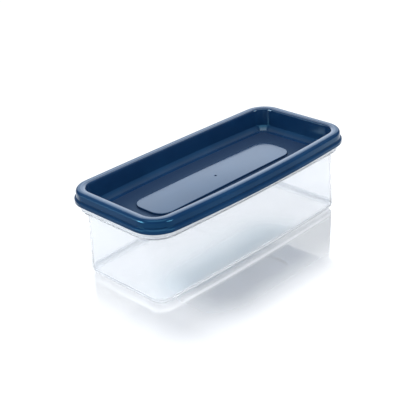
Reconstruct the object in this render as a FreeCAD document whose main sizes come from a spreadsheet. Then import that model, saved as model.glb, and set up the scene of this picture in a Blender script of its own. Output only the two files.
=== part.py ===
"""Long food storage box: a clear drafted tub and a deep press-on lid.

Both pieces are profiles carried round one closed outline, a rectangle with
large round corners and slightly bowed long sides.  The origin lies in the
plane that the tub stands on, under the middle of the box.  +X runs along the
box, +Y across it and +Z up.  An "inset" is a distance inwards from the lid's
outermost outline, so that every wall, step and fit is measured the same way.
"""
import FreeCAD, Part
import math
import os
import Sketcher

doc = FreeCAD.newDocument("storage_box")
V = FreeCAD.Vector
UP = V(0, 0, 1)
QUARTER_TURN = math.pi / 2
TOLERANCE = 0.02  # mm, for telling which ring of edges a point lies on

# ---------------------------------------------------------------- sizes (mm)
SIZES = [
    # overall
    ("lid_length", 250.0, "lid over its lip, end to end"),
    ("lid_width", 117.6, "lid over its lip, at the middle of the long sides"),
    ("side_bow", 3.8, "how far each long side bows out over its length"),
    ("corner_radius", 24.0, "outline's corner radius, at the lip"),
    ("box_height", 81.6, "from the table to the top of the lid"),
    # tub
    ("tub_wall", 1.2, "tub's wall"),
    ("tub_floor", 1.5, "tub's floor"),
    ("foot_inset", 12.1, "outside of the wall where it would meet the table"),
    ("wall_inset", 9.3, "outside of the wall under the collar"),
    ("foot_radius", 6.0, "round between wall and floor, outside"),
    ("collar_round", 1.0, "round on the collar's lower edge"),
    # lid
    ("lid_wall", 1.3, "lid's wall"),
    ("lid_height", 11.6, "from the lip's lower edge up to the crest"),
    ("lip_height", 3.2, "upright face of the lip"),
    ("lip_slope", 1.2, "rise of the slope from the lip to the skirt"),
    ("skirt_inset", 1.6, "skirt, above the lip"),
    ("skirt_draft", 0.3, "how far the skirt leans in up to the crest"),
    ("crest_inset", 10.2, "inner edge of the crest"),
    ("crest_outer_round", 4.0, "round on the crest, outside"),
    ("crest_inner_round", 3.0, "round on the crest, inside"),
    ("recess_depth", 20.9, "from the crest down to the panel"),
    ("recess_draft", 1.6, "how far the recess wall leans in"),
    ("bevel_width", 4.4, "bevel between recess wall and panel, across"),
    ("bevel_height", 4.2, "bevel between recess wall and panel, up"),
    # raised pad in the middle of the panel
    ("pad_length", 168.0, "raised pad, end to end"),
    ("pad_width", 38.4, "raised pad, side to side"),
    ("pad_radius", 13.0, "raised pad, corners"),
    ("pad_height", 1.4, "raised pad, above the panel"),
    ("pad_round", 0.5, "round on the pad's edge"),
    ("gate_width", 2.4, "moulding gate's dimple"),
    ("gate_depth", 0.5, "moulding gate's dimple"),
    ("pip_width", 1.2, "gate's pip in the dimple"),
    ("pip_height", 0.3, "gate's pip in the dimple"),
    # fits
    ("skirt_clearance", 0.3, "between the skirt and the tub's collar"),
    ("seat_clearance", 0.3, "between the bevel and the tub's shoulder"),
    ("edge_round", 0.5, "small rounds on mouldings"),
    ("overlap", 0.4, "how far a plate runs into the ring round it"),
]

sheet = doc.addObject("Spreadsheet::Sheet", "Sizes")
for row, (alias, value, note) in enumerate(SIZES, start=1):
    sheet.set("A%d" % row, note)
    sheet.set("B%d" % row, str(value))
    sheet.setAlias("B%d" % row, alias)
doc.recompute()


def size(alias):
    """The number in the sheet's cell of that name."""
    return float(sheet.get(alias))


def number(expression):
    """An expression's value, worked out from the sheet's present numbers."""
    return float(sheet.evalExpression(expression.replace("Sizes.", "")))


# ------------------------------------------------------------- the outline
# The long side's arc spans the whole length with side_bow as its rise.
BOW_RADIUS = "((Sizes.lid_length / 2) ^ 2 + Sizes.side_bow ^ 2) / (2 * Sizes.side_bow)"


def outline_numbers(inset):
    """Half length, half width, corner radius and bow radius at an inset."""
    half_length = size("lid_length") / 2 - inset
    half_width = size("lid_width") / 2 - inset
    return half_length, half_width, size("corner_radius") - inset, number(BOW_RADIUS) - inset


def corner_centre(inset=0.0):
    """Centre of the corner arc with x and y above 0: the same at any inset."""
    half_length, half_width, radius, bow = outline_numbers(inset)
    x = half_length - radius
    return x, half_width - bow + ((bow - radius) ** 2 - x ** 2) ** 0.5


def inset_of(point):
    """How far a point lies inside the lid's outermost outline, seen from above."""
    x, y = abs(point.x), abs(point.y)
    half_length, half_width, radius, bow = outline_numbers(0.0)
    centre_x, centre_y = corner_centre()
    bow_y = half_width - bow
    if y < centre_y:
        return half_length - x
    if x * (centre_y - bow_y) < centre_x * (y - bow_y):
        return bow - ((x ** 2 + (y - bow_y) ** 2) ** 0.5)
    return radius - (((x - centre_x) ** 2 + (y - centre_y) ** 2) ** 0.5)


def bind(sketch, constraint, expression):
    """Add a driving constraint and tie its value to the sheet."""
    index = sketch.addConstraint(constraint)
    sketch.setExpression("Constraints[%d]" % index, expression)


def new_sketch(body, name, role, height="0"):
    """A sketch on one of the body's own origin planes, raised by height."""
    sketch = body.newObject("Sketcher::SketchObject", name)
    plane = [f for f in body.Origin.OriginFeatures if f.Role == role][0]
    sketch.AttachmentSupport = (plane, "")
    sketch.MapMode = "FlatFace"
    if height != "0":
        sketch.setExpression("AttachmentOffset.Base.z", height)
    return sketch


def outline_sketch(body, name, inset, height="0"):
    """The bowed outline at an inset: two bowed sides, two ends, four corners."""
    sketch = new_sketch(body, name, "XY_Plane", height)
    half_length, half_width, radius, bow = outline_numbers(number(inset))
    centre_x, centre_y = corner_centre(number(inset))
    bow_y = half_width - bow
    lean = math.atan2(centre_x, centre_y - bow_y)

    def arc(x, y, r, start, end):
        circle = Part.Circle(V(x, y, 0), UP, r)
        return sketch.addGeometry(Part.ArcOfCircle(circle, start, end), False)

    def line(x, y0, y1):
        return sketch.addGeometry(Part.LineSegment(V(x, y0, 0), V(x, y1, 0)), False)

    north, west, south, east = (turn * QUARTER_TURN for turn in (1, 2, 3, 4))
    far = arc(0, bow_y, bow, north - lean, north + lean)
    far_left = arc(-centre_x, centre_y, radius, north + lean, west)
    left = line(-half_length, centre_y, -centre_y)
    near_left = arc(-centre_x, -centre_y, radius, west, south - lean)
    near = arc(0, -bow_y, bow, south - lean, south + lean)
    near_right = arc(centre_x, -centre_y, radius, south + lean, east)
    right = line(half_length, -centre_y, centre_y)
    far_right = arc(centre_x, centre_y, radius, 0, north - lean)

    ring = [far, far_left, left, near_left, near, near_right, right, far_right]
    for this, following in zip(ring, ring[1:] + ring[:1]):
        sketch.addConstraint(Sketcher.Constraint("Tangent", this, 2, following, 1))
    centre_drop = "%s - Sizes.lid_width / 2" % BOW_RADIUS
    bind(sketch, Sketcher.Constraint("DistanceY", far, 3, -1, 1, bow - half_width), centre_drop)
    bind(sketch, Sketcher.Constraint("DistanceY", -1, 1, near, 3, bow - half_width), centre_drop)
    for side in (far, near):
        sketch.addConstraint(Sketcher.Constraint("PointOnObject", side, 3, -2))
        bind(sketch, Sketcher.Constraint("Radius", side, bow), "%s - (%s)" % (BOW_RADIUS, inset))
    reach = "Sizes.lid_length / 2 - (%s)" % inset
    bind(sketch, Sketcher.Constraint("DistanceX", -1, 1, right, 1, half_length), reach)
    bind(sketch, Sketcher.Constraint("DistanceX", left, 1, -1, 1, half_length), reach)
    for end in (left, right):
        sketch.addConstraint(Sketcher.Constraint("Vertical", end))
    for corner in (far_left, near_left, near_right, far_right):
        bind(sketch, Sketcher.Constraint("Radius", corner, radius),
             "Sizes.corner_radius - (%s)" % inset)
    return sketch


def offset_corners(points, walls):
    """Corners of the same polyline moved to its right by each edge's own wall."""
    normals = []
    for start, end in zip(points, points[1:]):
        along = (end - start).normalize()
        normals.append(V(along.y, -along.x, 0))
    moved = [points[0] + normals[0] * walls[0]]
    for index in range(1, len(points) - 1):
        before, after = normals[index - 1], normals[index]
        turn = before.x * after.y - before.y * after.x
        a = points[index].dot(before) + walls[index - 1]
        b = points[index].dot(after) + walls[index]
        moved.append(V((a * after.y - b * before.y) / turn, (b * before.x - a * after.x) / turn, 0))
    moved.append(points[-1] + normals[-1] * walls[-1])
    return moved


def shell_section(body, name, outer, walls):
    """A wall's section through the +X end.

    outer lists the show side's corners as (inset, height) expressions, with
    the plastic on the right of the line from one corner to the next.  Each
    edge of the hidden side is parallel to its partner, one wall away from it.
    """
    sketch = new_sketch(body, name, "XZ_Plane")
    reach = ["Sizes.lid_length / 2 - (%s)" % inset for inset, _ in outer]
    show = [V(number(x), number(z), 0) for x, (_, z) in zip(reach, outer)]
    hidden = offset_corners(show, [number(wall) for wall in walls])
    corners = show + hidden[::-1]
    count, edges = len(corners), len(walls)
    for index in range(count):
        edge = Part.LineSegment(corners[index], corners[(index + 1) % count])
        sketch.addGeometry(edge, False)
    for index in range(count):
        joint = Sketcher.Constraint("Coincident", index, 2, (index + 1) % count, 1)
        sketch.addConstraint(joint)
    for index, corner in enumerate(show):
        bind(sketch, Sketcher.Constraint("DistanceX", -1, 1, index, 1, corner.x), reach[index])
        if outer[index][1] == "0":
            sketch.addConstraint(Sketcher.Constraint("PointOnObject", index, 1, -1))
        else:
            bind(sketch, Sketcher.Constraint("DistanceY", -1, 1, index, 1, corner.y),
                 outer[index][1])
    for index, wall in enumerate(walls):
        partner = count - 2 - index
        sketch.addConstraint(Sketcher.Constraint("Parallel", index, partner))
        bind(sketch, Sketcher.Constraint("Distance", partner, 1, index, number(wall)), wall)
    sketch.addConstraint(Sketcher.Constraint("Perpendicular", 0, count - 1))
    sketch.addConstraint(Sketcher.Constraint("Perpendicular", edges - 1, edges))
    return sketch


def carried_round(body, name, section, path):
    """The section carried round a closed outline."""
    pipe = body.newObject("PartDesign::AdditivePipe", name)
    pipe.Profile = section
    pipe.Spine = (path, ["Edge%d" % (i + 1) for i in range(len(path.Shape.Edges))])
    pipe.Refine = True
    doc.recompute()
    return pipe


def plate(body, name, outline, thickness):
    """An outline's inside, filled upwards by a thickness."""
    pad = body.newObject("PartDesign::Pad", name)
    pad.Profile = outline
    pad.setExpression("Length", thickness)
    pad.Refine = True
    doc.recompute()
    return pad


def ring_edges(shape, inset, height):
    """Names of the edges that follow the outline at one inset and height."""
    found = []
    for index, edge in enumerate(shape.Edges, start=1):
        first, last = edge.ParameterRange
        spots = [edge.valueAt(first + part * (last - first)) for part in (0.1, 0.5, 0.9)]
        if all(abs(spot.z - height) < TOLERANCE and abs(inset_of(spot) - inset) < TOLERANCE
               for spot in spots):
            found.append("Edge%d" % index)
    return found


def level_edges(shape, height):
    """Names of the edges that lie flat at one height."""
    return ["Edge%d" % index for index, edge in enumerate(shape.Edges, start=1)
            if abs(edge.BoundBox.ZMin - height) + abs(edge.BoundBox.ZMax - height) < TOLERANCE]


def rounded(body, name, base, section, corner, radius):
    """Round the ring of edges that a section's corner makes."""
    point = section.Geometry[corner].StartPoint
    edges = ring_edges(base.Shape, size("lid_length") / 2 - point.x, point.y)
    fillet = body.newObject("PartDesign::Fillet", name)
    fillet.Base = (base, edges)
    fillet.setExpression("Radius", radius)
    doc.recompute()
    return fillet


# ----------------------------------------------------------- where things fit
PANEL_TOP = "(Sizes.box_height - Sizes.recess_depth)"
BEVEL_START = "(Sizes.crest_inset + Sizes.recess_draft)"
BEVEL_END = "(%s + Sizes.bevel_width)" % BEVEL_START
BEVEL_LENGTH = "sqrt(Sizes.bevel_width ^ 2 + Sizes.bevel_height ^ 2)"
LIP_BASE = "(Sizes.box_height - Sizes.lid_height)"
COLLAR_INSET = ("(Sizes.skirt_inset + Sizes.skirt_draft + Sizes.lid_wall"
                " + Sizes.skirt_clearance)")
RIM_TOP = "(Sizes.box_height - Sizes.crest_outer_round)"
# The bevel's underside passes just over the inner corner of the tub's shoulder.
SHOULDER_TOP = ("(%s + Sizes.bevel_height * (1 - (Sizes.wall_inset + Sizes.tub_wall - %s)"
                " / Sizes.bevel_width) - (Sizes.lid_wall + Sizes.seat_clearance) * %s"
                " / Sizes.bevel_width)" % (PANEL_TOP, BEVEL_START, BEVEL_LENGTH))
COLLAR_BASE = "(%s - Sizes.tub_wall)" % SHOULDER_TOP


# ------------------------------------------------------------------- the tub
def make_tub():
    """Drafted tub: floor, wall, a shoulder that steps out and an upright collar."""
    body = doc.addObject("PartDesign::Body", "tub")
    foot_end = "(Sizes.foot_inset + Sizes.tub_wall + 2 * Sizes.overlap)"
    outline = outline_sketch(body, "tub_outline", "0")
    section = shell_section(
        body, "tub_section",
        [(COLLAR_INSET, RIM_TOP),
         (COLLAR_INSET, COLLAR_BASE),
         ("Sizes.wall_inset", COLLAR_BASE),
         ("Sizes.foot_inset", "0"),
         (foot_end, "0")],
        ["Sizes.tub_wall", "Sizes.tub_wall", "Sizes.tub_wall", "Sizes.tub_floor"])
    doc.recompute()
    rim, collar_edge, shoulder, foot, _, _, foot_in, shoulder_in, _, rim_in = range(10)
    ring = carried_round(body, "tub_wall_ring", section, outline)
    floor_outline = outline_sketch(body, "tub_floor_outline", "%s - Sizes.overlap" % foot_end)
    solid = plate(body, "tub_floor_plate", floor_outline, "Sizes.tub_floor")
    rounds = [
        ("tub_foot_round", foot, "Sizes.foot_radius"),
        ("tub_inner_foot_round", foot_in, "Sizes.foot_radius - Sizes.tub_wall"),
        ("tub_collar_round", collar_edge, "Sizes.collar_round"),
        ("tub_shoulder_round", shoulder, "Sizes.edge_round"),
        ("tub_inner_shoulder_round", shoulder_in, "Sizes.edge_round"),
        ("tub_rim_round", rim, "Sizes.edge_round"),
        ("tub_inner_rim_round", rim_in, "Sizes.edge_round"),
    ]
    for name, corner, radius in rounds:
        solid = rounded(body, name, solid, section, corner, radius)
    return body


# ------------------------------------------------------------------- the lid
def rounded_rectangle(body, name, length, width, radius, height):
    """A straight-sided rectangle with round corners, centred on the box."""
    sketch = new_sketch(body, name, "XY_Plane", height)
    x, y, r = number(length) / 2, number(width) / 2, number(radius)
    ends = [(V(r - x, -y, 0), V(x - r, -y, 0)), (V(x, r - y, 0), V(x, y - r, 0)),
            (V(x - r, y, 0), V(r - x, y, 0)), (V(-x, y - r, 0), V(-x, r - y, 0))]
    centres = [V(x - r, r - y, 0), V(x - r, y - r, 0), V(r - x, y - r, 0), V(r - x, r - y, 0)]
    for side, (start, end) in enumerate(ends):
        sketch.addGeometry(Part.LineSegment(start, end), False)
        circle = Part.Circle(centres[side], UP, r)
        arc = Part.ArcOfCircle(circle, (side - 1) * QUARTER_TURN, side * QUARTER_TURN)
        sketch.addGeometry(arc, False)
    for index in range(8):
        joint = Sketcher.Constraint("Tangent", index, 2, (index + 1) % 8, 1)
        sketch.addConstraint(joint)
    near, right, far, left = 0, 2, 4, 6
    half_width, half_length = "(%s) / 2" % width, "(%s) / 2" % length
    sketch.addConstraint(Sketcher.Constraint("Horizontal", near))
    sketch.addConstraint(Sketcher.Constraint("Vertical", right))
    bind(sketch, Sketcher.Constraint("DistanceY", near, 1, -1, 1, y), half_width)
    bind(sketch, Sketcher.Constraint("DistanceY", -1, 1, far, 1, y), half_width)
    bind(sketch, Sketcher.Constraint("DistanceX", -1, 1, right, 1, x), half_length)
    bind(sketch, Sketcher.Constraint("DistanceX", left, 1, -1, 1, x), half_length)
    for corner in (1, 3, 5, 7):
        bind(sketch, Sketcher.Constraint("Radius", corner, r), radius)
    return sketch


def disc(body, name, width, height):
    """A circle on the box's axis."""
    sketch = new_sketch(body, name, "XY_Plane", height)
    radius = number(width) / 2
    circle = sketch.addGeometry(Part.Circle(V(0, 0, 0), UP, radius), False)
    sketch.addConstraint(Sketcher.Constraint("Coincident", circle, 3, -1, 1))
    bind(sketch, Sketcher.Constraint("Diameter", circle, 2 * radius), width)
    return sketch


def sunk(body, name, outline, depth, upwards=False):
    """Material taken away from an outline's plane, downwards unless told."""
    before = body.Tip.Shape.Volume
    pocket = body.newObject("PartDesign::Pocket", name)
    pocket.Profile = outline
    pocket.setExpression("Length", depth)
    pocket.Reversed = upwards
    doc.recompute()
    if pocket.Shape.Volume >= before:
        raise RuntimeError("%s took nothing away" % name)
    return pocket


def make_lid():
    """Deep press-on lid: lip, skirt, broad crest, sunk panel and a raised pad."""
    body = doc.addObject("PartDesign::Body", "lid")
    panel_end = "(%s + Sizes.lid_wall + 2 * Sizes.overlap)" % BEVEL_END
    panel_base = "(%s - Sizes.lid_wall)" % PANEL_TOP
    lip_top = "(%s + Sizes.lip_height)" % LIP_BASE
    outline = outline_sketch(body, "lid_outline", "0")
    section = shell_section(
        body, "lid_section",
        [(panel_end, PANEL_TOP),
         (BEVEL_END, PANEL_TOP),
         (BEVEL_START, "%s + Sizes.bevel_height" % PANEL_TOP),
         ("Sizes.crest_inset", "Sizes.box_height"),
         ("Sizes.skirt_inset + Sizes.skirt_draft", "Sizes.box_height"),
         ("Sizes.skirt_inset", "%s + Sizes.lip_slope" % lip_top),
         ("0", lip_top),
         ("0", LIP_BASE)],
        ["Sizes.lid_wall"] * 7)
    doc.recompute()
    (_, panel, bevel, crest_in, crest_out, skirt, lip, lip_edge,
     _, _, _, channel_out, channel_in, _, _, _) = range(16)
    carried_round(body, "lid_rim_ring", section, outline)
    panel_outline = outline_sketch(body, "lid_panel_outline", "%s - Sizes.overlap" % panel_end,
                                   panel_base)
    solid = plate(body, "lid_panel", panel_outline, "Sizes.lid_wall")
    rounds = [
        ("lid_crest_round", crest_out, "Sizes.crest_outer_round"),
        ("lid_channel_round", channel_out, "Sizes.crest_outer_round - Sizes.lid_wall"),
        ("lid_inner_crest_round", crest_in, "Sizes.crest_inner_round"),
        ("lid_inner_channel_round", channel_in, "Sizes.crest_inner_round - Sizes.lid_wall"),
        ("lid_bevel_round", bevel, "Sizes.edge_round"),
        ("lid_panel_round", panel, "Sizes.edge_round"),
        ("lid_skirt_round", skirt, "Sizes.edge_round"),
        ("lid_lip_round", lip, "Sizes.edge_round"),
        ("lid_lip_edge_round", lip_edge, "Sizes.edge_round"),
    ]
    for name, corner, radius in rounds:
        solid = rounded(body, name, solid, section, corner, radius)

    pad_outline = rounded_rectangle(body, "pad_outline", "Sizes.pad_length", "Sizes.pad_width",
                                    "Sizes.pad_radius", PANEL_TOP)
    pad = plate(body, "raised_pad", pad_outline, "Sizes.pad_height")
    pad_face = "(%s + Sizes.pad_height)" % PANEL_TOP
    edge_round = body.newObject("PartDesign::Fillet", "pad_edge_round")
    edge_round.Base = (pad, level_edges(pad.Shape, number(pad_face)))
    edge_round.setExpression("Radius", "Sizes.pad_round")
    doc.recompute()
    hollow = rounded_rectangle(body, "pad_hollow_outline",
                               "Sizes.pad_length - 2 * Sizes.lid_wall",
                               "Sizes.pad_width - 2 * Sizes.lid_wall",
                               "Sizes.pad_radius - Sizes.lid_wall", panel_base)
    sunk(body, "pad_hollow", hollow, "Sizes.pad_height", upwards=True)
    sunk(body, "gate_dimple", disc(body, "gate_outline", "Sizes.gate_width", pad_face),
         "Sizes.gate_depth")
    pip = disc(body, "pip_outline", "Sizes.pip_width", "%s - Sizes.gate_depth" % pad_face)
    plate(body, "gate_pip", pip, "Sizes.pip_height")
    return body


# ------------------------------------------------------------ build and write
parts = [make_tub(), make_lid()]
doc.recompute()
for item in doc.Objects:
    if "Invalid" in item.State or "Error" in item.State:
        raise RuntimeError("%s failed: %s" % (item.Name, item.State))
for part in parts:
    if part.Shape.isNull() or not part.Shape.isValid() or len(part.Shape.Solids) != 1:
        raise RuntimeError("%s is not one sound solid" % part.Label)

os.makedirs("parts", exist_ok=True)
for part in parts:
    part.Shape.exportStep("parts/%s.step" % part.Label)
    box = part.Shape.BoundBox
    print(part.Label, "volume %.0f mm3" % part.Shape.Volume, "faces", len(part.Shape.Faces),
          "x %.2f..%.2f  y %.2f..%.2f  z %.2f..%.2f"
          % (box.XMin, box.XMax, box.YMin, box.YMax, box.ZMin, box.ZMax))
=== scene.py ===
# %% [markdown]
# # A food storage box: clear tub, navy lid
#
# The real box is two injection mouldings.  A clear, slightly milky tub stands on the
# table, and a deep navy lid is pressed down over its collar.  Both are thin walls of even
# thickness carried round one outline: a long rectangle with large round corners and long
# sides that bow out a little.  A box like this could be carved from cubes with bevels and
# booleans, but a wall that keeps its thickness round every corner is easier to get right
# when the surface is worked out by numbers, ring by ring.  That is what this lesson does.
#
# The construction model is loaded first and never changed.  It gives the places and the
# outer size that the two visible mouldings have to keep to.

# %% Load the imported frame
import math

import bpy
import numpy as np
from mathutils import Matrix, Vector


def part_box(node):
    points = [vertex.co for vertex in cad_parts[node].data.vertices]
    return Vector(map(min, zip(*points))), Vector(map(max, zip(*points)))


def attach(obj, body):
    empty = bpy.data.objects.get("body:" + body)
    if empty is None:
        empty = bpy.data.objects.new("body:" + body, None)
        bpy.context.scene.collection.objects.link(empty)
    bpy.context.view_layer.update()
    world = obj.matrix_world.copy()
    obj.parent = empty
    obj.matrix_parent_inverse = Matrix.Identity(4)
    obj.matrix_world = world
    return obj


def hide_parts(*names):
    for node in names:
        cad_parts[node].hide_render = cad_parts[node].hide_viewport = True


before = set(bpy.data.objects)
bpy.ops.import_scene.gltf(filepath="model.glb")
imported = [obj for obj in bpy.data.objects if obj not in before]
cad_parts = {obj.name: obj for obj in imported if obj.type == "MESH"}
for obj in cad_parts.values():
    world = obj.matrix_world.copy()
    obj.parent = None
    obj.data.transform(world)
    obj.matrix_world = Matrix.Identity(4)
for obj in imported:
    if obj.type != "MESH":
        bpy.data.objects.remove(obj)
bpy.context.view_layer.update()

mm = 0.001
lid_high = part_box("lid")[1]
tub_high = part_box("tub")[1]

# %% [markdown]
# ## The outline and its rings
#
# Every wall of both pieces follows the same closed line, seen from above.  It has eight
# stretches: two straight ends, two long sides that are arcs of a very large circle, and
# four corners.  A point on the line also gets a normal, which points straight out of the
# box.  A ring that lies some distance inside the line is then just the points moved back
# along their normals, so one number, the *inset*, says where any wall is.  A Bezier curve
# would do for one ring; points with normals do for all of them at once, and every ring
# has the same count, which is what a grid needs.

# %% Closed lines as points with normals
CORNER_STEPS, SIDE_STEPS, END_STEPS = 26, 44, 16


def closed_line(half_length, half_width, radius, bow=0.0):
    """Points and outward normals of a bowed rectangle with round corners, as two (N, 2) arrays.

    A long side is an arc over the whole length whose rise is the bow, so its radius is
    (half_length^2 + bow^2) / (2 bow).  A corner's circle touches that arc from inside and
    the straight end too: its centre is radius inside the end, and (big radius - radius)
    from the big arc's centre.  Each arc's normal is (cos a, sin a) at angle a, and its
    points are centre + radius * normal.
    """
    rise = max(bow, 1e-6)
    big = (half_length ** 2 + rise ** 2) / (2 * rise)
    centre_x = half_length - radius
    centre_y = half_width - big + math.sqrt((big - radius) ** 2 - centre_x ** 2)
    lean = math.atan2(centre_x, centre_y - half_width + big)
    quarter = math.pi / 2
    points, normals = [], []

    def arc(x, y, r, start, end, steps):
        angle = np.linspace(start, end, steps, endpoint=False)
        normal = np.stack([np.cos(angle), np.sin(angle)], 1)
        points.append(np.array([x, y]) + r * normal)
        normals.append(normal)

    def end_wall(x, y0, y1):
        y = np.linspace(y0, y1, END_STEPS, endpoint=False)
        points.append(np.stack([np.full_like(y, x), y], 1))
        normals.append(np.tile([math.copysign(1.0, x), 0.0], (END_STEPS, 1)))

    end_wall(half_length, -centre_y, centre_y)
    arc(centre_x, centre_y, radius, 0, quarter - lean, CORNER_STEPS)
    arc(0, half_width - big, big, quarter - lean, quarter + lean, SIDE_STEPS)
    arc(-centre_x, centre_y, radius, quarter + lean, 2 * quarter, CORNER_STEPS)
    end_wall(-half_length, centre_y, -centre_y)
    arc(-centre_x, -centre_y, radius, 2 * quarter, 3 * quarter - lean, CORNER_STEPS)
    arc(0, big - half_width, big, 3 * quarter - lean, 3 * quarter + lean, SIDE_STEPS)
    arc(centre_x, -centre_y, radius, 3 * quarter + lean, 4 * quarter, CORNER_STEPS)
    return np.concatenate(points), np.concatenate(normals)


half_length, half_width = lid_high.x, lid_high.y
corner_radius, tub_radius, foot_radius = 24.0 * mm, 26.0 * mm, 20.5 * mm
lid_bow, tub_bow = 3.9 * mm, 3.1 * mm
tub_slack = lid_bow - tub_bow   # the tub's long sides are straighter than the lid's
lid_line = closed_line(half_length, half_width, corner_radius, lid_bow)
tub_line = closed_line(half_length, half_width - tub_slack, tub_radius, tub_bow)
foot_line = closed_line(half_length, half_width - tub_slack, foot_radius, tub_bow)
print("points in every ring:", len(lid_line[0]))

# %% [markdown]
# ## Sections with round corners
#
# A moulding has no sharp corner: each one gets a radius, large where a hand touches it
# and tiny where the mould's parts meet.  A section is written as the few corners that it
# would have if they were sharp, with a radius for each, and this helper rounds them.  It
# also adds a few stations along the flats, close to the rounds, so that smooth shading
# stays flat on a flat wall and turns only in the round.  The Bevel modifier could round
# edges too, but it can't give every edge its own radius from a list.

# %% Round a section and place its stations
ROUND_STEPS = 13


def rounded_section(corners, even_step=5.0 * mm, support=0.25 * mm):
    """Stations of a section whose corners are rounded, as an (M, 4) array.

    Each corner is (inset, height, radius, finish).  With u and v the unit vectors from a
    corner to its neighbours and t the angle between them, the arc touches both sides at
    radius / tan(t / 2) from the corner, and its centre lies on the bisector at
    radius / sin(t / 2).  Heights, insets and finish then run evenly along the line.
    """
    table = np.array(corners, float)
    stations = [table[:1, [0, 1, 3]]]
    for before, at, after in zip(table, table[1:], table[2:]):
        u = (before[:2] - at[:2]) / np.linalg.norm(before[:2] - at[:2])
        v = (after[:2] - at[:2]) / np.linalg.norm(after[:2] - at[:2])
        half = math.acos(np.clip(u @ v, -1, 1)) / 2
        centre = at[:2] + (u + v) / np.linalg.norm(u + v) * at[2] / math.sin(half)
        start = at[:2] + u * at[2] / math.tan(half) - centre
        end = at[:2] + v * at[2] / math.tan(half) - centre
        turn = math.pi - 2 * half
        share = np.linspace(0, 1, ROUND_STEPS)[:, None]
        arc = np.sin((1 - share) * turn) * start + np.sin(share * turn) * end
        arc = centre + arc / math.sin(turn)
        stations.append(np.column_stack([arc, np.full(ROUND_STEPS, at[3])]))
    stations.append(table[-1:, [0, 1, 3]])
    line = np.concatenate(stations)
    run = np.concatenate([[0], np.cumsum(np.hypot(*np.diff(line[:, :2], axis=0).T))])
    flat = np.diff(run) > 3 * support
    places = np.unique(np.round(np.concatenate([
        run, run[:-1][flat] + support, run[1:][flat] - support,
        np.arange(even_step, run[-1], even_step)]), 7))
    return np.stack([np.interp(places, run, column) for column in line.T], 1)


# %% [markdown]
# ## From rings to a closed skin
#
# Two kinds of surface are enough for both mouldings.  *Carried* takes a section round a
# line: one ring for each station, moved in by its inset.  *Between* fills a flat from one
# ring to the next, such as the panel between the recess wall and the raised pad.  Stacked
# up they make one grid from the middle of the show side, out over the rim and back to the
# middle of the hidden side, so the piece is a closed solid with a true wall all round.

# %% Carry, fill and close
def carried(line, section):
    """Rings (M, N, 4) of a section carried round a line: (point - inset * normal, height, finish)."""
    points, normals = line
    flat = points[None] - section[:, 0, None, None] * normals[None]
    count = len(points)
    rest = np.repeat(section[:, None, 1:], count, axis=1)
    return np.concatenate([flat, rest], 2)


def between(first, last, steps, even=1.0):
    """Rings strictly between two rings: (1 - w) * first + w * last, with w = share ** even."""
    weight = (np.arange(1, steps + 1) / (steps + 1)) ** even
    return first[None] * (1 - weight[:, None, None]) + last[None] * weight[:, None, None]


def closed_skin(name, blocks):
    """A mesh object from blocks of rings, closed by a fan to one point at each end."""
    rings = np.concatenate(blocks)
    count, around = rings.shape[:2]
    poles = np.stack([rings[0].mean(0), rings[-1].mean(0)])
    table = np.concatenate([rings.reshape(-1, 4), poles])
    index = np.arange(count * around).reshape(count, around)
    after = np.roll(index, -1, axis=1)
    quads = np.stack([index[:-1], index[1:], after[1:], after[:-1]], -1).reshape(-1, 4)
    first, last = count * around, count * around + 1
    fans = [np.stack([np.full(around, first), index[0], after[0]], 1),
            np.stack([index[-1], np.full(around, last), after[-1]], 1)]
    faces = quads.tolist() + np.concatenate(fans).tolist()
    mesh = bpy.data.meshes.new(name)
    mesh.from_pydata(table[:, :3].tolist(), [], faces)
    mesh.polygons.foreach_set("use_smooth", np.ones(len(faces), bool))
    finish = mesh.attributes.new("finish", "FLOAT", "POINT")
    finish.data.foreach_set("value", table[:, 3].astype(np.float32))
    mesh.update()
    piece = bpy.data.objects.new(name, mesh)
    bpy.context.scene.collection.objects.link(piece)
    corners = table[np.concatenate([quads[:, [0, 1, 2]], quads[:, [0, 2, 3]], *fans]), :3]
    volume = np.einsum("ij,ij->i", corners[:, 0], np.cross(corners[:, 1], corners[:, 2])).sum() / 6
    print(name, "rings", count, "faces", len(faces), "volume %.1f cm3" % (volume * 1e6))
    return piece


# %% [markdown]
# ## The lid
#
# The lid's section starts at the panel, climbs a bevel and the recess wall to the broad
# crest, and falls down the skirt to a lip that stands out a little.  The hidden side is
# nearly the same line moved by the wall's thickness.  The long sides of such a thin lid
# sink a little in the middle, so its rim also sags by a smooth curve that is nothing at
# the ends.  The panel's surface is spark-eroded in the mould and comes out matt.  The
# crest and the pad are glossy, the bevel's foot and the crest's inner edge are polished,
# and the skirt is satin.  Each station carries that as a number called *finish*.

# %% The lid's sizes and section
POLISHED, GLOSSY, SATIN, MATT, HIDDEN = 1.0, 0.84, 0.6, 0.0, 0.3
crest_top = lid_high.z
lid_wall = 1.3 * mm
lip_base, lip_height, lip_slope = crest_top - 11.6 * mm, 3.2 * mm, 1.2 * mm
skirt_inset, skirt_draft, crest_inset = 1.6 * mm, 0.3 * mm, 10.2 * mm
panel_top = crest_top - 20.9 * mm
bevel_start = crest_inset + 1.6 * mm
bevel_end, bevel_top = bevel_start + 4.4 * mm, panel_top + 4.2 * mm
panel_edge = bevel_end + 4.5 * mm
rim_sag = 1.6 * mm

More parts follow.
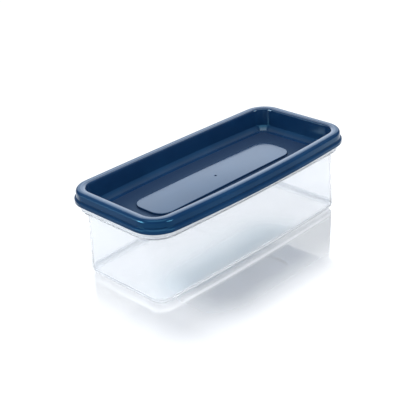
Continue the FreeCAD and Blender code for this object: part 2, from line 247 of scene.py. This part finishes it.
# each corner: inset, height, radius, finish
lid_corners = [
    (panel_edge, panel_top, 0, MATT),
    (bevel_end, panel_top, 1.2 * mm, POLISHED),                           # foot of the bevel
    (bevel_start, bevel_top, 0.6 * mm, SATIN),                            # top of the bevel
    (crest_inset, crest_top - 0.35 * mm, 1.2 * mm, POLISHED),             # crest, inner edge
    (crest_inset - 3.4 * mm, crest_top, 10.0 * mm, GLOSSY),               # crest, highest line
    (skirt_inset + skirt_draft, crest_top - 0.1 * mm, 2.9 * mm, SATIN),   # crest, outer edge
    (skirt_inset, lip_base + lip_height + 1.9 * mm, 0.3 * mm, SATIN),     # foot of the skirt
    (skirt_inset + 0.6 * mm, lip_base + lip_height + lip_slope, 0.3 * mm, SATIN),  # fine groove
    (0, lip_base + lip_height, 0.7 * mm, SATIN),                          # lip, upper edge
    (0, lip_base, 0.55 * mm, SATIN),                                      # lip, lower edge
    (lid_wall, lip_base, 0.5 * mm, HIDDEN),                               # the hidden side begins
    (lid_wall, lip_base + lip_height - 0.2 * mm, 0.4 * mm, HIDDEN),
    (skirt_inset + lid_wall, lip_base + lip_height + lip_slope, 0.5 * mm, HIDDEN),
    (skirt_inset + skirt_draft + lid_wall, crest_top - lid_wall, 2.6 * mm, HIDDEN),
    (crest_inset - lid_wall, crest_top - lid_wall, 1.3 * mm, HIDDEN),
    (bevel_start - 1.2 * mm, bevel_top - 0.5 * mm, 0.8 * mm, HIDDEN),
    (bevel_end - 0.5 * mm, panel_top - lid_wall, 0.6 * mm, HIDDEN),
    (panel_edge, panel_top - lid_wall, 0, HIDDEN),
]
lid_section = rounded_section(lid_corners, even_step=2.0 * mm)
print("lid section: stations", len(lid_section))

# %% [markdown]
# ## The raised pad and its gate
#
# The pad in the middle of the panel is a low plateau with a small round on its edge.  At
# its centre is the gate, where the plastic entered the mould: a shallow dimple with a pip
# in it.  The pad has its own outline, and the gate is a circle with the same number of
# points, so the rings run from the gate out to the pad, and on to the panel, with no
# break in the grid.  The middle of a lid is never perfectly flat, which shows in its
# reflections, so a gentle warp is added to its height: waves of less than a tenth of a
# millimetre, and a dome that falls by a fifth of one towards the pad's long sides.

# %% Pad, gate and the whole lid
pad_half_length, pad_half_width, pad_radius = 84.0 * mm, 19.2 * mm, 13.0 * mm
pad_height, pad_round = 1.8 * mm, 0.5 * mm
gate_radius, gate_depth, pip_radius, pip_height = 1.2 * mm, 1.0 * mm, 0.5 * mm, 0.25 * mm
pad_line = closed_line(pad_half_length, pad_half_width, pad_radius)
pad_points = pad_line[0]
bearing = np.arctan2(pad_points[:, 1] / pad_half_width, pad_points[:, 0] / pad_half_length)
gate_normals = np.stack([np.cos(bearing), np.sin(bearing)], 1)
gate_line = (gate_radius * gate_normals, gate_normals)
pad_top = panel_top + pad_height

gate_section = rounded_section([
    (gate_radius * 0.98, pad_top - gate_depth + pip_height, 0, SATIN),
    (gate_radius - pip_radius, pad_top - gate_depth + pip_height, 0.15 * mm, SATIN),
    (gate_radius - pip_radius, pad_top - gate_depth, 0.05 * mm, SATIN),
    (0, pad_top - gate_depth, 0.1 * mm, SATIN),
    (0, pad_top, 0.1 * mm, POLISHED),
    (-0.3 * mm, pad_top, 0, GLOSSY)], support=0.05 * mm)
pad_section = rounded_section([
    (1.2 * mm, pad_top, 0, GLOSSY),
    (0.05 * mm, pad_top, pad_round, GLOSSY),
    (-0.1 * mm, panel_top, 0.2 * mm, MATT),
    (-1.0 * mm, panel_top, 0, MATT)])
hollow_section = rounded_section([
    (lid_wall - 1.0 * mm, panel_top - lid_wall, 0, HIDDEN),
    (lid_wall, panel_top - lid_wall, 0.3 * mm, HIDDEN),
    (lid_wall + 0.1 * mm, pad_top - lid_wall, 0.3 * mm, HIDDEN),
    (lid_wall + 2.0 * mm, pad_top - lid_wall, 0, HIDDEN)])

gate = carried(gate_line, gate_section)
pad = carried(pad_line, pad_section)
rim = carried(lid_line, lid_section)
hollow = carried(pad_line, hollow_section)
heart = carried(gate_line, np.array([[0.0, pad_top - lid_wall, HIDDEN]]))


def sagged(rings):
    """Lowers the rim by sag * (1 - (x / half_length)^2) * rise.

    The rise goes from 0 at the bevel to 1 at the crest.  The skirt and the hidden wall
    behind it hang from the crest, so there the rise stays 1.
    """
    inside = rings[..., 2] < crest_top - lid_wall
    ring_inset = lid_section[:, 0][:, None]
    climb = np.clip((rings[..., 2] - bevel_top) / (crest_top - bevel_top), 0, 1)
    rise = np.where(inside & (ring_inset > 0.5 * crest_inset + 0.5 * skirt_inset), climb, 1.0)
    rings[..., 2] -= rim_sag * (1 - np.clip(rings[..., 0] / half_length, -1, 1) ** 2) * rise
    return rings


def warped(rings, fade=1.0):
    """Adds the warp: long waves 0.07, 0.05 and 0.05 mm high, and the dome, -0.2 mm * (y / 19 mm)^2.

    Beyond 19 mm from the middle line, where the pad ends, the dome falls no further.
    """
    x, y = rings[..., 0] / mm, rings[..., 1] / mm
    wave = (0.07 * np.cos(x / 31 + 0.6) * np.cos(y / 17 - 0.4)
            + 0.05 * np.sin(x / 19 + y / 26 + 1.0) - 0.05 * np.cos(x / 53 - 0.8)
            - 0.20 * np.clip(y / 19, -1, 1) ** 2)
    rings[..., 2] += wave * mm * fade
    return rings


middle = warped(np.concatenate([
    gate, between(gate[-1], pad[0], 16, 1.3), pad, between(pad[-1], rim[0], 6)]))
rim = sagged(rim)
EDGE_RINGS = 8                  # the warp dies away over the rim's first rings
rim[:EDGE_RINGS] = warped(rim[:EDGE_RINGS], np.linspace(1, 0, EDGE_RINGS)[:, None])
underside = np.concatenate([
    between(rim[-1], hollow[0], 3), hollow, between(hollow[-1], heart[0], 3), heart])
lid = closed_skin("lid_moulding", [middle, rim, underside])

# %% [markdown]
# ## The tub
#
# The tub is one thin wall: a flat foot with a large round all the way along it, a nearly
# upright wall, a shoulder that steps out and a collar that goes up inside the lid.  The
# wall is about 1.2 mm thick, and light passes through both skins, so the inner skin
# matters as much as the outer one.  Thin clear walls made with a Solidify modifier would
# have sharp inner corners; here both skins come from one rounded section.  The foot's
# corners are tighter than the collar's, so each ring blends two outlines by its height.
#
# On the tub the *finish* number says how clear the plastic is.  It is 1 for the wall, and
# it drops on the collar, where the real tub looks milky.  Along the foot's round and at the
# table it drops too, for a painted highlight: a white band for the foot's bright line.

# %% The tub's section and surface
tub_wall, tub_floor = 1.2 * mm, 1.5 * mm
foot_inset, foot_round, wall_inset, collar_inset = 9.2 * mm, 6.3 * mm, 9.1 * mm, 3.5 * mm
shoulder_top, rim_top = panel_top + 3.2 * mm, tub_high.z
collar_base = shoulder_top - tub_wall
floor_edge = foot_inset + foot_round + 0.7 * mm
CLEAR = 1.0
# each corner: inset, height, radius, finish
tub_corners = [
    (floor_edge, tub_floor, 0, CLEAR),
    (foot_inset + tub_wall, tub_floor, foot_round - tub_wall, CLEAR),
    (wall_inset + tub_wall, shoulder_top, 0.5 * mm, CLEAR),
    (collar_inset + tub_wall, shoulder_top, 0.4 * mm, CLEAR),
    (collar_inset + tub_wall, rim_top, 0.5 * mm, CLEAR),
    (collar_inset, rim_top, 0.5 * mm, CLEAR),                # the outer skin begins
    (collar_inset, collar_base, 0.9 * mm, CLEAR),
    (wall_inset, collar_base, 0.5 * mm, CLEAR),
    (foot_inset, 0, foot_round, CLEAR),
    (floor_edge, 0, 0, CLEAR),
]
tub_section = rounded_section(tub_corners, even_step=4.0 * mm)
inset, height = tub_section[:, 0], tub_section[:, 1]
# painted highlight: white milk along the foot's round and at the table stands for the bright line
# where the foot catches the light
foot_highlight_milk = 0.8 * np.exp(-((height - 4.4 * mm) / (1.6 * mm)) ** 2)
table_line_highlight_milk = 0.32 * np.exp(-(height / (2.2 * mm)) ** 2)
collar_milk = 0.75 * (inset < wall_inset - 1 * mm) * (height > collar_base + 1.2 * mm)
near_wall = inset < foot_inset + 4.0 * mm
tub_section[:, 2] = CLEAR - np.maximum((foot_highlight_milk + table_line_highlight_milk) * near_wall, collar_milk)

low = np.clip(1 - height / shoulder_top, 0, 1)[:, None, None]      # 1 at the table, 0 at the shoulder
tub_rings = carried(tub_line, tub_section) * (1 - low) + carried(foot_line, tub_section) * low
core_line = closed_line(60.0 * mm, 4.0 * mm, 3.9 * mm)
core_in = carried(core_line, np.array([[0.0, tub_floor, CLEAR]]))
core_out = carried(core_line, np.array([[0.0, 0.0, CLEAR]]))
tub = closed_skin("tub_moulding", [
    core_in, between(core_in[0], tub_rings[0], 6), tub_rings,
    between(tub_rings[-1], core_out[0], 6), core_out])

# %% [markdown]
# ## Shader maths as expressions
#
# A node tree is easier to read as formulas.  *Wire* wraps one output socket.  Plus, minus,
# times and divide on it add Math nodes, and one method adds any other node: first its
# settings, then a number or another wire for each input.  A few short methods and
# functions name what is used again and again.

# %% Wire: one socket with operators
class Wire:
    """An output socket of a node tree that can be used in an expression."""

    def __init__(self, tree, socket=None):
        self.tree, self.socket = tree, socket

    def node(self, kind, settings, inputs, output=0):
        """Adds a node, sets it up, feeds its inputs and gives the wire from one output."""
        made = self.tree.nodes.new(kind)
        for key, value in settings.items():
            setattr(made, key, value)
        for key, value in inputs.items():
            if isinstance(value, Wire):
                self.tree.links.new(value.socket, made.inputs[key])
            else:
                made.inputs[key].default_value = value
        return Wire(self.tree, made.outputs[output])

    def maths(self, operation, first, second=0.0):
        """A Math node on one or two values."""
        return self.node("ShaderNodeMath", {"operation": operation}, {0: first, 1: second})

    def __add__(self, other):
        return self.maths("ADD", self, other)

    def __sub__(self, other):
        return self.maths("SUBTRACT", self, other)

    def __rsub__(self, other):
        return self.maths("SUBTRACT", other, self)

    def __mul__(self, other):
        return self.maths("MULTIPLY", self, other)

    def __truediv__(self, other):
        return self.maths("DIVIDE", self, other)

    __radd__, __rmul__ = __add__, __mul__

    def part(self, axis):
        """One of a vector's three numbers."""
        return self.node("ShaderNodeSeparateXYZ", {}, {"Vector": self}, axis)

    def between(self, low, high):
        """0 up to low, 1 from high, and a smooth step between."""
        return self.node("ShaderNodeMapRange", {"interpolation_type": "SMOOTHSTEP"},
                         {"Value": self, "From Min": low, "From Max": high})

    def towards(self, direction):
        """The cosine of the angle between this direction and a fixed one."""
        return self.node("ShaderNodeVectorMath", {"operation": "DOT_PRODUCT"},
                         {0: self, 1: Vector(direction).normalized()}, 1)

    def mixed(self, first, second):
        """A colour that is the first where this wire is 0 and the second where it is 1."""
        return self.node("ShaderNodeMix", {"data_type": "RGBA"}, {0: self, 6: first, 7: second}, 2)


def new_material(name):
    """A material with an empty tree, as a wire to start from and its output node."""
    material = bpy.data.materials.new(name)
    material.use_nodes = True
    material.node_tree.nodes.clear()
    output = material.node_tree.nodes.new("ShaderNodeOutputMaterial")
    return material, Wire(material.node_tree), output


def ray_kinds(start, *kinds):
    """For each kind of ray a wire that is 1 on rays of that kind and 0 on others."""
    return [start.node("ShaderNodeLightPath", {}, {}, f"Is {kind} Ray") for kind in kinds]


def noise(start, place, size, detail=3.0, roughness=0.5):
    """Noise from 0 to 1 whose lumps are about one size across, in metres."""
    return start.node("ShaderNodeTexNoise", {}, {
        "Vector": place, "Scale": 1 / size, "Detail": detail, "Roughness": roughness})


# %% [markdown]
# ## Navy polypropylene
#
# The lid is coloured through, so there is no paint to chip: what varies is the gloss.  A
# polished mould leaves a fine, soft gloss with faint flow marks, and the spark-eroded
# panel scatters light.  The base colour drifts a little where the melt cooled at
# different speeds.  All of that comes from noise at three sizes read from Object
# coordinates, and the *finish* number of the mesh says where the surface is polished: a
# thin coat lies on the glossiest parts, and the least glossy ones are rough and paler.
# The reflections are tinted blue, which stands in for the light that a real coloured
# plastic sends back from just below its surface.

# %% Navy plastic
def navy_plastic():
    """Rough and paler where the finish is matt, coated where it is polished, uneven by noise."""
    material, start, output = new_material("navy_plastic")
    place = start.node("ShaderNodeTexCoord", {}, {}, "Object")
    polish = start.node("ShaderNodeAttribute", {"attribute_name": "finish"}, {}, "Fac")
    melt = noise(start, place, 34 * mm, 2.0)
    grain = noise(start, place, 0.55 * mm, 2.0)
    streak = noise(start, start.node("ShaderNodeMapping", {}, {
        "Vector": place, "Scale": (0.25, 2.2, 1.0)}), 9 * mm, 4.0, 0.6)
    colour = melt.between(0.3, 0.7).mixed((0.0050, 0.027, 0.084, 1), (0.0066, 0.035, 0.102, 1))
    matt = 1.0 - polish.between(0.0, 0.55)
    colour = matt.mixed(colour, (0.0180, 0.037, 0.090, 1))
    rough = 0.15 + matt * 0.32 + (streak - 0.5) * 0.10 + (grain - 0.5) * 0.04
    height = grain * (0.25 + matt * 1.2) + streak * 0.25
    bump = start.node("ShaderNodeBump", {}, {
        "Strength": 0.25, "Distance": 0.02 * mm, "Height": height}, "Normal")
    shader = start.node("ShaderNodeBsdfPrincipled", {}, {
        "Base Color": colour, "Roughness": rough, "Normal": bump, "IOR": 1.5,
        "Specular IOR Level": 0.5, "Specular Tint": (0.20, 0.72, 1, 1),
        "Coat Weight": polish.between(0.65, 1.0), "Coat Roughness": 0.06})
    material.node_tree.links.new(shader.socket, output.inputs["Surface"])
    return material


lid.data.materials.append(navy_plastic())
print("navy plastic nodes:", len(lid.data.materials[0].node_tree.nodes))

# %% [markdown]
# ## Clear polypropylene
#
# Clear polypropylene is never quite like glass: it is a little milky, and its surface has
# a fine haze.  A Principled shader with transmission bends the light in both skins of the
# wall, and a small share of it stays white and solid for the milkiness.  That share grows
# where the wall is seen at a grazing angle and where the *finish* number drops.  A pure
# glass shader would be too crisp, and plain transparency would lose the lines where the
# foot and the corners bend the light.  The index of refraction is 1.32: the real one is
# 1.49, but the lower one keeps the lines of the floor's far edges soft, as on the real box.
# Lamps are let through by a Transparent shader, so that the inside is lit as it is behind
# a real thin wall.

# %% Clear plastic
def clear_plastic():
    """Glass mixed with a share of white milk; light on its way from a lamp goes straight through."""
    material, start, output = new_material("clear_plastic")
    place = start.node("ShaderNodeTexCoord", {}, {}, "Object")
    haze = noise(start, place, 26 * mm, 3.0)
    fine = noise(start, place, 0.8 * mm, 2.0)
    flow = noise(start, start.node("ShaderNodeMapping", {}, {
        "Vector": place, "Scale": (1.0, 1.0, 0.2)}), 7 * mm, 3.0)
    colour = haze.between(0.25, 0.75).mixed((0.972, 0.981, 0.994, 1), (0.986, 0.993, 1.0, 1))
    rough = 0.06 + haze * 0.05 + fine * 0.02
    bump = start.node("ShaderNodeBump", {}, {
        "Strength": 0.12, "Distance": 0.05 * mm, "Height": flow + fine * 0.1}, "Normal")
    glass = start.node("ShaderNodeBsdfPrincipled", {}, {
        "Base Color": colour, "Roughness": rough, "Normal": bump, "IOR": 1.32,
        "Transmission Weight": 1.0})
    milk = start.node("ShaderNodeBsdfPrincipled", {}, {
        "Base Color": (0.935, 0.965, 1.0, 1), "Roughness": 0.25, "Normal": bump})
    clear_share = start.node("ShaderNodeAttribute", {"attribute_name": "finish"}, {}, "Fac")
    facing = start.node("ShaderNodeLayerWeight", {}, {"Blend": 0.5}, "Facing")
    clear_share = clear_share * (1.0 - facing.between(0.55, 1.0) * 0.5)
    cloudy = 1.0 - clear_share * (0.88 - haze * 0.08)
    body = start.node("ShaderNodeMixShader", {}, {0: cloudy, 1: glass, 2: milk})
    clear = start.node("ShaderNodeBsdfTransparent", {}, {"Color": (0.97, 0.975, 0.985, 1)})
    lamps = start.node("ShaderNodeLightPath", {}, {}, "Is Shadow Ray")
    shader = start.node("ShaderNodeMixShader", {}, {0: lamps, 1: body, 2: clear})
    material.node_tree.links.new(shader.socket, output.inputs["Surface"])
    return material


tub.data.materials.append(clear_plastic())
print("clear plastic nodes:", len(tub.data.materials[0].node_tree.nodes))

# %% [markdown]
# ## Joining the looks to the construction
#
# Each moulding rides on the box's one body and stands for its construction node, which is
# hidden.

# %% Ride and replace
for piece, node, slot in ((lid, "lid", "navy_plastic"), (tub, "tub", "clear_plastic")):
    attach(piece, "root")
    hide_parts(node)
    print(piece.name, "stands for", node, "in", slot)

# %% [markdown]
# ## Camera
#
# The camera looks down on one corner of the box, so that the lid's top, a short end and a
# long side all show.  Its place is given as two angles, a small roll and a distance from a
# point inside the box.

# %% Camera
azimuth, elevation, roll = (math.radians(angle) for angle in (-44.74, 27.19, -3.07))
camera_distance, camera_target = 828.4 * mm, Vector((-6.26, 2.96, 29.86)) * mm
back = Vector((math.sin(azimuth) * math.cos(elevation),
               -math.cos(azimuth) * math.cos(elevation), math.sin(elevation)))
level = Vector((0, 0, 1)).cross(back).normalized()
upright = back.cross(level)
right = level * math.cos(roll) + upright * math.sin(roll)
up = upright * math.cos(roll) - level * math.sin(roll)
camera_data = bpy.data.cameras.new("camera")
camera_data.lens, camera_data.sensor_width = 79.24, 36.0
camera = bpy.data.objects.new("camera", camera_data)
bpy.context.scene.collection.objects.link(camera)
camera.matrix_world = Matrix.Translation(camera_target + back * camera_distance) @ Matrix(
    (right, up, back)).transposed().to_4x4()
bpy.context.scene.camera = camera
print("camera at, mm:", [round(v / mm) for v in camera.matrix_world.translation])

# %% [markdown]
# ## The table
#
# The table is a pale, polished sheet.  It mirrors the box in front of its near side and
# near end and under it, and the mirror image fades within a hand's breadth.  Under the box
# the mirror is stronger and tinted blue, which paints a blue-grey shade on the table there:
# the sheet shows the lid's dark underside in place of its white glow.  Its white is
# part light on a matt sheet and part a glow, so that the surroundings are white and the
# object's shadow stays.  The glow is a quarter weaker for light that matt surfaces
# gather, and missing from reflections of the table's far front, as if a black card lay
# there, which darkens what the upright faces mirror.  A sheet that is glossy all over
# would be simpler, but it would mirror the studio as well as the box.
#
# What changes from place to place is only how much of each plain shader is mixed in.

# %% Table
TABLE_HALF = 3.0
table_mesh = bpy.data.meshes.new("table")
table_mesh.from_pydata([(-TABLE_HALF, -TABLE_HALF, 0), (TABLE_HALF, -TABLE_HALF, 0),
                        (TABLE_HALF, TABLE_HALF, 0), (-TABLE_HALF, TABLE_HALF, 0)],
                       [], [(0, 1, 2, 3)])
table = bpy.data.objects.new("table", table_mesh)
bpy.context.scene.collection.objects.link(table)


def table_finish():
    """Mirror, matt sheet and glow, mixed by how far a place lies from the box."""
    material, start, output = new_material("white_table")
    place = start.node("ShaderNodeTexCoord", {}, {}, "Object")
    x, y = place.part(0), place.part(1)
    before_side, before_end = -46 * mm - y, -114 * mm - x
    reach = start.maths("MAXIMUM", before_side, before_end)
    in_front = reach.between(-12 * mm, 2 * mm)

    fade = 1.0
    for distance, full, gone in ((before_side, 26 * mm, 82 * mm), (before_end, 4 * mm, 50 * mm),
                                 (x, 120 * mm, 170 * mm), (y, 64 * mm, 110 * mm)):
        fade = fade * (1.0 - distance.between(full, gone))
    fade = fade * (0.55 + x.between(-115 * mm, -60 * mm) * 0.45)
    off_centre = start.maths("ABSOLUTE", x + 25 * mm)
    # painted shade: under the box the mirror grows, so the table there mirrors the dark lid instead
    # of glowing white
    under_box_shade_mirror = (1.0 - off_centre.between(55 * mm, 115 * mm)) * (1.0 - y.between(-40 * mm, 34 * mm))
    mirror = fade * (in_front * 0.80 + (1.0 - in_front) * (0.05 + under_box_shade_mirror * 0.8))

    transmitted, glossy, diffuse = ray_kinds(start, "Transmission", "Glossy", "Diffuse")
    behind = (x * -back.x + y * -back.y).between(0.0, 80 * mm)
    carded = glossy * (1.0 - transmitted) * (1.0 - behind) * reach.between(62 * mm, 84 * mm)
    glowing = (1.0 - carded) * (1.0 - diffuse * 0.25)

    sheet = start.node("ShaderNodeBsdfDiffuse", {}, {"Color": (0.36, 0.37, 0.39, 1)})
    glow = start.node("ShaderNodeEmission", {}, {"Color": (0.98, 0.99, 1, 1), "Strength": 0.66})
    glow = start.node("ShaderNodeMixShader", {}, {0: glowing, 2: glow})
    lit = start.node("ShaderNodeAddShader", {}, {0: sheet, 1: glow})
    # the blue-tinted gloss is used under the box, for the painted blue-grey shade there
    white_gloss, blue_shade_gloss = [
        start.node("ShaderNodeBsdfGlossy", {}, {"Color": tint, "Roughness": 0.06})
        for tint in ((1, 1, 1, 1), (0.78, 0.93, 1, 1))]
    gloss = start.node("ShaderNodeMixShader", {}, {
        0: under_box_shade_mirror * (1.0 - in_front), 1: white_gloss, 2: blue_shade_gloss})
    shader = start.node("ShaderNodeMixShader", {}, {0: mirror, 1: lit, 2: gloss})
    material.node_tree.links.new(shader.socket, output.inputs["Surface"])
    return material


table_mesh.materials.append(table_finish())
print("table nodes:", len(table_mesh.materials[0].node_tree.nodes))

# %% [markdown]
# ## Light
#
# A small product studio.  Reflections see a bright sweep behind the box, which its flat
# surfaces mirror, three cards that put short bright spots and lines on the round corners,
# and darkness elsewhere, so that the navy keeps its depth.  Matt surfaces see a soft
# light from above and behind the box and a fill from the front, but no card.  The eye
# sees white.  A real studio can't part its light like that, but the world's strength can,
# by the kind of ray.  Two area lamps, at the left and overhead, add soft shadows.

# %% Sky and lamps
FRONT = (0.20, -0.96, 0.17)      # before the near long side
CARDS = (                        # direction, angle of the edge, angle of the full core, brightness
    ((-0.93, 0.28, 0.16), 19.0, 8.0, 15.0),
    (FRONT, 16.0, 7.0, 12.0),
    ((-0.77, 0.63, 0.02), 26.0, 8.0, 1.6))


def studio_sky():
    """The surroundings, with a brightness of its own for each kind of ray."""
    world = bpy.data.worlds.new("studio")
    bpy.context.scene.world = world
    world.use_nodes = True
    world.node_tree.nodes.clear()
    start = Wire(world.node_tree)
    way = start.node("ShaderNodeTexCoord", {}, {}, "Generated")
    x, y, height = way.part(0), way.part(1), way.part(2)
    ahead = (x * -back.x + y * -back.y) / math.cos(elevation)
    across = start.maths("ABSOLUTE", x * level.x + y * level.y)

    sweep = ahead.between(0.0, 0.3) * (1.0 - across.between(0.35, 0.6))
    sweep = sweep * height.between(0.03, 0.36) * (1.0 - height.between(0.40, 0.60) * 0.75)
    sweep = sweep * (1.0 - height.between(0.6, 0.8))
    sides = across.between(0.5, 0.7) * height.between(0.35, 0.5)
    mirrored = 0.04 + sweep * 2.05 + sides * 0.35
    for direction, edge, core, brightness in CARDS:
        outer, inner = math.cos(math.radians(edge)), math.cos(math.radians(core))
        mirrored = mirrored + way.towards(direction).between(outer, inner) * brightness

    overhead = (height * 0.8 + ahead * 0.6).between(-0.15, 0.75)
    fill = way.towards(FRONT).between(0.4, 0.95)
    gathered = 0.38 + overhead * 0.8 + fill * 0.55
    seen_through = 1.0 - height.between(0.15, 0.4) * 0.6

    camera_ray, through, glossy = ray_kinds(start, "Camera", "Transmission", "Glossy")
    glossy = glossy * (1.0 - through)      # rays through rough plastic count as glossy too
    rest = 1.0 - camera_ray - through - glossy
    strength = camera_ray + through * seen_through + glossy * mirrored + rest * gathered
    colour = (glossy * sweep).mixed((0.97, 0.985, 1, 1), (0.83, 0.89, 1, 1))
    sky = start.node("ShaderNodeBackground", {}, {"Color": colour, "Strength": strength})
    output = world.node_tree.nodes.new("ShaderNodeOutputWorld")
    world.node_tree.links.new(sky.socket, output.inputs["Surface"])
    print("sky nodes:", len(world.node_tree.nodes))


def soft_box(name, direction, distance, width, height, power, colour=(1, 1, 1)):
    """An area lamp in a direction from the box, turned to face it."""
    lamp = bpy.data.lights.new(name, "AREA")
    lamp.shape, lamp.size, lamp.size_y = "RECTANGLE", width, height
    lamp.energy, lamp.color = power, colour
    holder = bpy.data.objects.new(name, lamp)
    bpy.context.scene.collection.objects.link(holder)
    place = Vector(direction).normalized() * distance
    holder.location = place
    holder.rotation_mode = "QUATERNION"
    holder.rotation_quaternion = (-place).to_track_quat("-Z", "Y")
    print(name, power, "W at, m:", [round(v, 2) for v in place])


studio_sky()
soft_box("left_box", (-0.90, 0.34, 0.30), 1.0, 0.6, 0.4, 1.6, (0.9, 0.96, 1.0))
soft_box("top_box", (-0.20, -0.20, 0.96), 1.1, 1.0, 0.9, 5.5)

# %% [markdown]
#
# The plain view transform shows colours as they are written.

# %% Finish
bpy.context.scene.view_settings.view_transform = "Standard"
